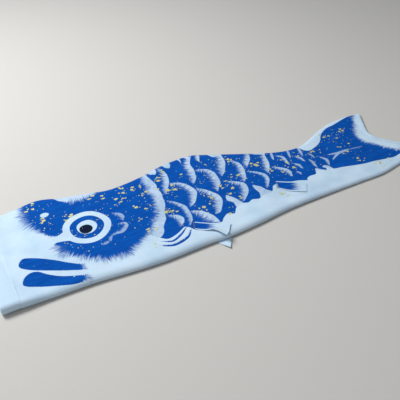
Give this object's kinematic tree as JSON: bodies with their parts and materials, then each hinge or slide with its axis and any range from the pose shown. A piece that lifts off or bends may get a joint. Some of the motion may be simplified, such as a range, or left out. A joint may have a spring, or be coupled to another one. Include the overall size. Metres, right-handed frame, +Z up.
{
  "type": "carp streamer",
  "caption": "Flattened cloth carp streamer: a painted cotton tube with a hemmed, corded mouth, brass eyelets, sewn-on fins and an open forked tail.",
  "frame": {"origin": "centre of the bounding box at its base, the face the streamer lies on", "axes": "+X from the mouth to the tail, +Y from the belly to the back, +Z up through the cloth, out of the near side"},
  "size_m": [0.815, 0.26, 0.015],
  "materials": {
    "painted_cotton": "matte cotton, brushed with blue dye in a carp pattern, with white ground",
    "seam_cotton": "matte white cotton",
    "fin_cotton": "matte white cotton with blue brush strokes",
    "sewing_thread": "fine twisted thread, dark and white",
    "rim_cord": "twisted cotton cord",
    "eyelet_brass": "pressed brass, slightly dulled",
    "gold_leaf": "thin torn flakes of pale imitation gold leaf"
  },
  "bodies": {
    "head": {"near_panel_head": "painted_cotton", "far_panel_head": "painted_cotton", "back_seam_head": "seam_cotton", "belly_seam_head": "seam_cotton", "mouth_hem": "seam_cotton", "mouth_cord": "rim_cord", "near_eyelet": "eyelet_brass", "near_eyelet_washer": "eyelet_brass", "far_eyelet": "eyelet_brass", "far_eyelet_washer": "eyelet_brass"},
    "body": {"near_panel_body": "painted_cotton", "far_panel_body": "painted_cotton", "back_seam_body": "seam_cotton", "belly_seam_body": "seam_cotton", "near_pectoral_fin_stitches": "sewing_thread", "far_pectoral_fin_stitches": "sewing_thread", "near_pelvic_fin_stitches": "sewing_thread", "far_pelvic_fin_stitches": "sewing_thread"},
    "tail": {"near_panel_tail": "painted_cotton", "far_panel_tail": "painted_cotton", "back_seam_tail": "seam_cotton", "belly_seam_tail": "seam_cotton", "near_tail_hem": "seam_cotton", "far_tail_hem": "seam_cotton"},
    "near_pectoral_fin": {"near_pectoral_fin": "fin_cotton"},
    "far_pectoral_fin": {"far_pectoral_fin": "fin_cotton"},
    "near_pelvic_fin": {"near_pelvic_fin": "fin_cotton"},
    "far_pelvic_fin": {"far_pelvic_fin": "fin_cotton"}
  },
  "joints": [
    {"name": "neck_bend", "type": "hinge", "parent": "head", "child": "body", "pos_m": [-0.157, 0, 0.00565], "axis": [0, -1, 0], "range_deg": [-85, 85]},
    {"name": "tail_bend", "type": "hinge", "parent": "body", "child": "tail", "pos_m": [0.185, 0, 0.00565], "axis": [0, -1, 0], "range_deg": [-85, 85]},
    {"name": "near_pectoral_fin_flap", "type": "hinge", "parent": "body", "child": "near_pectoral_fin", "pos_m": [-0.097, -0.066, 0.01215], "axis": [-0.4472, -0.8944, 0], "range_deg": [0, 120]},
    {"name": "far_pectoral_fin_flap", "type": "hinge", "parent": "body", "child": "far_pectoral_fin", "pos_m": [-0.097, -0.066, 0.00095], "axis": [0.4472, 0.8944, 0], "range_deg": [0, 120]},
    {"name": "near_pelvic_fin_flap", "type": "hinge", "parent": "body", "child": "near_pelvic_fin", "pos_m": [0.081, -0.043, 0.01215], "axis": [-0.3714, -0.9285, 0], "range_deg": [0, 120]},
    {"name": "far_pelvic_fin_flap", "type": "hinge", "parent": "body", "child": "far_pelvic_fin", "pos_m": [0.081, -0.043, 0.00095], "axis": [0.3714, 0.9285, 0], "range_deg": [0, 120]}
  ]
}
